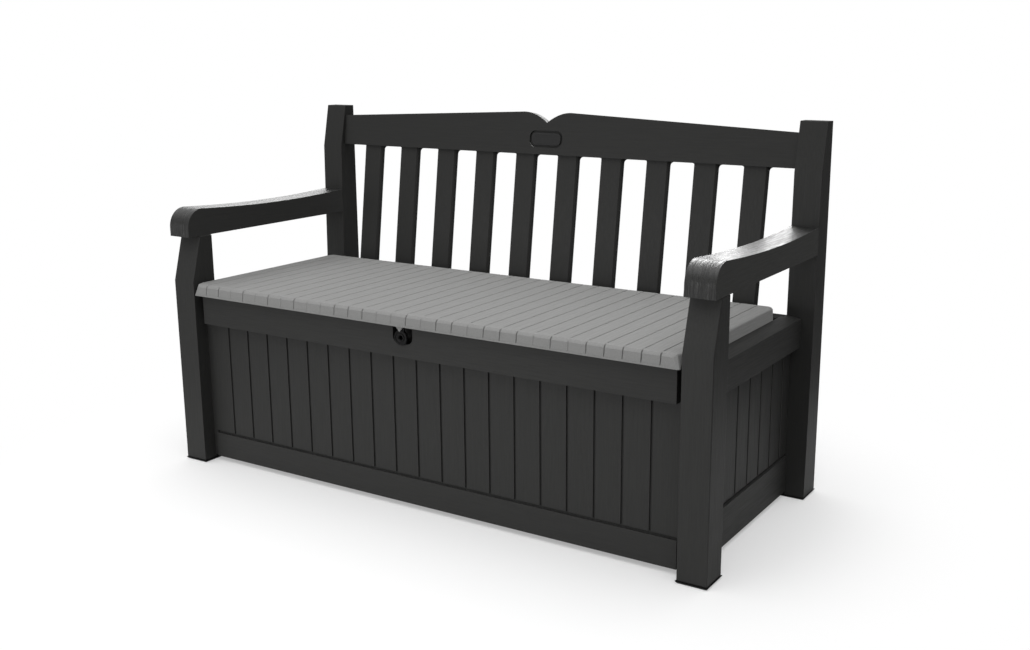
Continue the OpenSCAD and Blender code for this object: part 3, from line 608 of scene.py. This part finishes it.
# %% Lid seams
LID_PLANKS = 32
SEAM_W, SEAM_D = 0.003, 0.0015
SEAM_LIFT = 0.6
SPLIT_REACH = 0.00005
LID_RIM, LID_TOP = 0.420, 0.4475
SLOPE_FOOT = LID_TOP - 0.004
REAR_STEP = 0.002
lid_low, lid_high = (Vector(corner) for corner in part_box("lid_shell"))
plank_w = (lid_high.x - lid_low.x) / LID_PLANKS
seams = [lid_low.x + plank_w * i for i in range(1, LID_PLANKS)]
lid_middle = (lid_low + lid_high) / 2
lid_d = lid_high.y - lid_low.y
# The corners of the seams' floor: how far behind the lid's front, and how high.
SEAM_FLOOR = ((0.003, LID_RIM + 0.0035), (0.0105, SLOPE_FOOT), (0.01375, LID_TOP - SEAM_D),
              (lid_d, LID_TOP - SEAM_D), (lid_d - REAR_STEP, LID_TOP - SEAM_D))


def near_profile(vert, y, z, reach=NEAR):
    """Whether a vertex lies at this distance behind the lid's front, and
    at this height."""
    return math.hypot(vert.co.y - lid_low.y - y, vert.co.z - z) < reach


def split_seams(mesh):
    """Split the lid along both sides of every seam."""
    for seam in seams:
        for side in (-1, 1):
            split(mesh, (seam + side * SEAM_W / 2, 0, 0), (1, 0, 0), reach=SPLIT_REACH)


def unevenness(number):
    """A share from 0 to 1 for a seam, the same on each run."""
    return 0.5 + 0.5 * math.sin(number * 2.4 + 5 * math.sin(number * 1.7))


def close_seams(mesh):
    """Bring the two edges of each groove's floor together in the middle,
    and lift the floor of each seam by its own share."""
    moved = 0
    for vert in mesh.verts:
        seam = min(seams, key=lambda seam: abs(seam - vert.co.x))
        on_floor = any(near_profile(vert, y, z) for y, z in SEAM_FLOOR)
        if abs(abs(vert.co.x - seam) - SEAM_W / 2) < NEAR and on_floor:
            vert.co.x = seam
            lift = SEAM_D * SEAM_LIFT * unevenness(seams.index(seam))
            if vert.co.z < SLOPE_FOOT + NEAR:
                vert.co.y -= lift
            elif vert.co.y > lid_middle.y:
                vert.co.z += lift
            moved += 1
    bmesh.ops.remove_doubles(mesh, verts=mesh.verts, dist=SAME_POINT)
    print("seam floor corners", moved)


# %% [markdown]
# The solid's front edge is a plain slope from the lip to the top. On the
# real lid the skirt stands nearly upright, and a round bead leads over to
# the top, where the seams fade out. So the skirt's upper corner is moved
# forwards, and the two corners of a seam's floor below it follow. In a seam
# whose floor was lifted much the lower one stays, so that some seams are
# deeper on the edge than others. The bead is two more cuts along the slope,
# whose corners are pushed out, which is plainer than a bevel across 31 seams.

# %% Lid front edge
EDGE_FOOT = (0.0035, 0.441)
EDGE_TOP = (0.013, 0.4475)
# Where a corner is in the solid, and where it goes.
EDGE_MOVES = (((0.009, SLOPE_FOOT), EDGE_FOOT),
              ((0.0105, SLOPE_FOOT), (0.0045, EDGE_FOOT[1])),
              ((0.01375, LID_TOP - SEAM_D), (EDGE_TOP[0] + 0.0005, LID_TOP - 0.0005)))
# A floor's corner that was lifted by more than this stays where it is.
EDGE_REACH = 0.0003
EDGE_SWELL = 0.0014
SWELL_REACH = 0.0012
# How far up the slope a cut is, and its share of the swell.
SWELL_AT = ((0.3, 0.85), (0.62, 0.95))
SEAM_START = 0.019


def round_front_edge(mesh):
    """Stand the skirt more upright, swell the edge above it into a round
    bead, and let the seams fade out there."""
    split(mesh, (0, lid_low.y + SEAM_START, 0), (0, 1, 0))
    for old, new in EDGE_MOVES:
        for vert in mesh.verts:
            if near_profile(vert, *old, EDGE_REACH):
                vert.co.y, vert.co.z = lid_low.y + new[0], new[1]
    slope = Vector((0, EDGE_TOP[0] - EDGE_FOOT[0], EDGE_TOP[1] - EDGE_FOOT[1]))
    out = Vector((0, -slope.z, slope.y)).normalized()
    for share, swell in SWELL_AT:
        middle = Vector((0, lid_low.y + EDGE_FOOT[0], EDGE_FOOT[1])) + slope * share
        for piece in split(mesh, middle, slope.normalized()):
            if isinstance(piece, bmesh.types.BMVert) and abs((piece.co - middle).dot(out)) < SWELL_REACH:
                piece.co += out * EDGE_SWELL * swell


# %% [markdown]
# All four corners of the lid are rounded. The rear ones are a bevel of the
# two upright edges. At the front that fails, because the skirt leans, so
# each corner is cut along two flat planes that lean back, and the small
# bevel smooths them afterwards. The ends lean in a little towards the top,
# and their top edge is rounded through three level cuts.

# %% Lid corners and ends
REAR_CORNER_R, REAR_CORNER_STEPS = 0.013, 6
FRONT_CORNER_R = 0.006
CORNER_LEAN = math.radians(18)
CORNER_TURNS = (math.radians(27), math.radians(63))
SKIRT_FOOT = Vector((0.633, -0.299, 0.423))
END_LEAN = 0.0015
END_ROUND = 0.004
END_CUTS = (1, 0.55, 0.2)
END_START = 0.612


def round_rear_corners(mesh):
    """Bevel the two upright outer edges at the lid's rear."""
    upright = [edge for edge in mesh.edges
               if all(abs(abs(vert.co.x) - lid_high.x) < NEAR and vert.co.y > lid_high.y - REAR_STEP - NEAR
                      for vert in edge.verts)
               and abs(edge.verts[0].co.z - edge.verts[1].co.z) > NEAR]
    bmesh.ops.bevel(mesh, geom=upright, offset=REAR_CORNER_R, offset_type="OFFSET",
                    segments=REAR_CORNER_STEPS, profile=0.5, affect="EDGES", clamp_overlap=False)
    print("rear corners rounded on", len(upright), "edges")


def round_front_corners(mesh):
    """Cut each front corner along two planes that lean back."""
    for side in (-1, 1):
        corner = Vector((side * SKIRT_FOOT.x, SKIRT_FOOT.y, SKIRT_FOOT.z))
        for turn in CORNER_TURNS:
            way = Vector((side * math.cos(turn), -math.sin(turn), math.tan(CORNER_LEAN))).normalized()
            back = FRONT_CORNER_R * (math.cos(turn) + math.sin(turn) - 1) * math.cos(CORNER_LEAN)
            split(mesh, corner - way * back, way, clear_outer=True)
            rim = [edge for edge in mesh.edges if edge.is_boundary]
            bmesh.ops.holes_fill(mesh, edges=rim, sides=0)


def share_between(value, start, end):
    """How far value is from start to end, from 0 to 1."""
    return min(max((value - start) / (end - start), 0), 1)


def lean_ends(mesh):
    """Draw the lid's ends in towards the top, and round their top edge."""
    for share in END_CUTS:
        split(mesh, (0, 0, LID_TOP - END_ROUND * share), (0, 0, 1))
    for vert in mesh.verts:
        share = share_between(abs(vert.co.x), END_START, lid_high.x)
        rise = share_between(vert.co.z, SKIRT_FOOT.z, LID_TOP)
        bend = share_between(vert.co.z, LID_TOP - END_ROUND, LID_TOP)
        inward = END_LEAN * rise + END_ROUND * (1 - math.sqrt(1 - bend * bend))
        vert.co.x -= math.copysign(inward * share, vert.co.x)


# %% [markdown]
# A pointed tab hangs from the lip, close in front of the lock. The solid's
# tab is flush with the lip, so it is folded away, and a thicker one is
# added just before the hasp. Then the lid takes all its changes in turn,
# and the liner below it, which is plain, only gets rounded edges.

# %% Lid
TAB_HALF, TAB_DROP, TAB_T = 0.011, 0.012, 0.004
TAB_GAP, TAB_ROOT = 0.0005, 0.001
LOCK_X, LOCK_Z = -0.01978, 0.394
hasp_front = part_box("lock_hasp")[0][1]


def hang_tab(mesh):
    """Fold the solid's tab into the lip, and hang one before the hasp."""
    targets = {}
    for tip in mesh.verts:
        if tip.co.z < LID_RIM - NEAR:
            beside = [edge.other_vert(tip) for edge in tip.link_edges]
            level = [vert for vert in beside if abs(vert.co.y - tip.co.y) < NEAR]
            targets[tip] = min(level, key=lambda vert: vert.co.x)
    bmesh.ops.weld_verts(mesh, targetmap=targets)
    outline = [(LOCK_X - TAB_HALF, LID_RIM + TAB_ROOT), (LOCK_X + TAB_HALF, LID_RIM + TAB_ROOT),
               (LOCK_X, LID_RIM - TAB_DROP)]
    ends = (hasp_front - TAB_T - TAB_GAP, hasp_front - TAB_GAP)
    add_bar(mesh, *([(x, y, z) for x, z in outline] for y in ends))
    print("tab tips folded", len(targets))


def shape_lid(mesh):
    """All the changes to the lid's form, in order."""
    hang_tab(mesh)
    split_seams(mesh)
    close_seams(mesh)
    round_front_edge(mesh)
    round_rear_corners(mesh)
    round_front_corners(mesh)
    lean_ends(mesh)


lid_skin = soften("lid_shell", SMALL_R, [lid_y], shape=shape_lid, shortest=0.001, body="lid")
soften("lid_liner", THIN_R, [lid_y], shortest=0.003, body="lid")

# %% [markdown]
# The hasp's disc has a raised rim and, round the padlock hole, a funnel
# that catches the light. A profile turned round the hole's axis gives each
# in one form, where cuts in the disc would need a boolean.

# %% Lock
RIM_RING = [(0.0132, -0.0005), (0.0132, 0.0008), (0.0138, 0.0014), (0.0160, 0.0014), (0.0166, 0.0008),
            (0.0166, -0.0005)]
HOLE_RING = [(0.0050, -0.0015), (0.0050, 0.0), (0.0078, 0.0016), (0.0092, 0.0016), (0.0098, 0.0010),
             (0.0098, -0.0005)]


def add_rings(mesh):
    """Put the rim and the funnel on the hasp's disc."""
    centre = Vector((LOCK_X, hasp_front, LOCK_Z))
    for profile in (RIM_RING, HOLE_RING):
        add_ring(mesh, centre, profile)


soften("lock_hasp", THIN_R, [black_satin], add=add_rings, shortest=0.0, body="lid")
soften("lock_eye", THIN_R, [black_satin], shortest=0.003)

# %% [markdown]
# The steel pieces are small and mostly hidden. They could be copied and
# bevelled too, but nobody would see it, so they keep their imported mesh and
# only get the steel finish.

# %% Small steel parts
STEEL_PARTS = ("hinge_pin_left", "hinge_pin_middle", "hinge_pin_right", "panel_screws", "armrest_screws",
               "rail_screws", "lid_bar_front", "lid_bar_rear", "lid_screws", "hasp_screw")
for name in STEEL_PARTS:
    nodes[name].data.materials.clear()
    nodes[name].data.materials.append(steel)
print("steel parts", len(STEEL_PARTS))

# %% [markdown]
# The photograph's bench stands on white, with a soft shadow. A plain white
# floor would show its edge, so the floor is a disc that fades into a white
# background for the camera. What the camera doesn't see directly, such as a
# reflection, meets a greyer floor, which keeps the low faces as dark as in
# the photograph.

# %% Floor
FLOOR_RADIUS = 1.3
FADE_START, FADE_END = 0.75, FLOOR_RADIUS * 0.97
FLOOR_SEEN, FLOOR_LIT = 0.9, 0.6
WHITENING = 0.35


def smooth_step(finish, value, start, end, first, last):
    """A soft change from first to last while value goes from start to end."""
    return finish.node("ShaderNodeMapRange", {"interpolation_type": "SMOOTHSTEP"},
                       {"Value": value, "From Min": start, "From Max": end, "To Min": first, "To Max": last})


floor_mesh = bmesh.new()
bmesh.ops.create_circle(floor_mesh, cap_ends=True, segments=96, radius=FLOOR_RADIUS)
floor_finish = Finish(bpy.data.materials.new("pale floor"))
seen_floor = floor_finish.node("ShaderNodeLightPath", output="Is Camera Ray")
floor_finish.surface(Base_Color=floor_finish.mix(seen_floor, grey(FLOOR_LIT), grey(FLOOR_SEEN)),
                     Roughness=0.9, Specular_IOR_Level=0.1)
spot = floor_finish.node("ShaderNodeTexCoord", output="Object")
far = floor_finish.node("ShaderNodeVectorMath", {"operation": "LENGTH"}, {0: spot}, output="Value")
white = floor_finish.node("ShaderNodeEmission", {}, {"Color": grey(1), "Strength": 1.0})
fading = smooth_step(floor_finish, far, FADE_START, FADE_END, WHITENING, 1) * seen_floor
plain = Wire(floor_finish, floor_finish.tree.nodes["Principled BSDF"].outputs[0])
blended = floor_finish.node("ShaderNodeMixShader", {}, {0: fading, 1: plain, 2: white})
floor_finish.join(floor_finish.tree.nodes["Material Output"].inputs["Surface"], blended)
floor = make_object("floor", floor_mesh, [floor_finish.owner])
print("floor radius", FLOOR_RADIUS, "m")

# %% [markdown]
# A studio tent has a bright ceiling and dim walls. A room of white boards
# would do it, but a world whose brightness depends on direction alone is
# free of edges. The walls are dimmer to the right and behind, where the
# bench's right side is turned, and the camera sees plain white.

# %% World
CEILING, WALL = 2.05, 0.3
CEILING_FROM, CEILING_FULL = 0.45, 0.85
DIM_CORNER = 0.42
DIM_FROM, DIM_FULL = 0.2, 0.85
RIGHT_REAR = (0.7, 0.7, 0)
world = bpy.data.worlds.new("studio")
bpy.context.scene.world = world
sky = Finish(world)
ray = sky.node("ShaderNodeTexCoord", output="Generated")
ray_z = sky.node("ShaderNodeSeparateXYZ", {}, {0: ray}, output="Z")
to_right_rear = sky.node("ShaderNodeVectorMath", {"operation": "DOT_PRODUCT"}, {0: ray, 1: RIGHT_REAR},
                         output="Value")
lit = (smooth_step(sky, ray_z, CEILING_FROM, CEILING_FULL, WALL, CEILING)
       * smooth_step(sky, to_right_rear, DIM_FROM, DIM_FULL, 1, DIM_CORNER))
seen = sky.node("ShaderNodeLightPath", output="Is Camera Ray")
backdrop = sky.tree.nodes["Background"]
backdrop.inputs["Color"].default_value = grey(1)
sky.join(backdrop.inputs["Strength"], lit * (1 - seen) + seen)
print("ceiling", CEILING, "walls", WALL)

# %% [markdown]
# One lamp fills the front, and one lightens the lid's side and the right
# arm, which are paler in the photograph than the panels below them. Wide
# lamps behind the bench draw the near-white shine on the arms' tops and on
# the crown of the backrest. They have no part in the diffuse light, and only
# the posts stand in their way. Light linking does that. It is like flags
# and reflectors, but no real studio could light single pieces so cleanly.

# %% Lamps


def softbox(name, place, target, width, height, power):
    """A rectangular lamp that faces its target and isn't seen itself."""
    data = bpy.data.lights.new(name, "AREA")
    data.shape = "RECTANGLE"
    data.size = width
    data.size_y = height
    data.energy = power
    lamp = bpy.data.objects.new(name, data)
    lamp.location = place
    lamp.rotation_euler = (Vector(target) - Vector(place)).to_track_quat("-Z", "Y").to_euler()
    lamp.visible_camera = False
    bpy.context.scene.collection.objects.link(lamp)
    print("lamp", name, power, "W")
    return lamp


def limit(lamp, role, pieces):
    """Make these pieces the lamp's only ones in a role: those that it lights,
    the receiver, or those that can shade it, the blocker."""
    group = bpy.data.collections.new(lamp.name + " " + role)
    for piece in pieces:
        group.objects.link(piece)
    setattr(lamp.light_linking, role + "_collection", group)


def shine(name, pieces, *placing):
    """A lamp seen only as a gloss on some pieces."""
    lamp = softbox(name, *placing)
    lamp.visible_diffuse = False
    limit(lamp, "receiver", pieces)
    limit(lamp, "blocker", posts)


softbox("front fill", (-0.9, -2.7, 0.5), (0, 0, 0.3), 2.2, 1.0, 17)
side_fill = softbox("side fill", (3.0, 0.9, 1.4), (0.6, 0, 0.5), 1.6, 1.2, 16)
limit(side_fill, "receiver", (lid_skin, arms[1]))
shine("low shine left", arms[:1], (-1.2, 3.2, 0.9), (0, 0, 0.6), 5.0, 3.2, 75)
shine("low shine right", arms[1:], (-1.2, 3.2, 0.2), (0, 0, 0.6), 4.0, 3.0, 215)
shine("high shine", arms, (-1.1, 2.5, 3.0), (0, 0, 0.6), 4.0, 1.4, 230)
shine("crown shine", [backrest], (-0.4, 3.2, 2.6), (0, 0.3, 0.8), 2.4, 1.6, 90)

view = bpy.context.scene.view_settings
view.view_transform = "Standard"
view.look = "None"
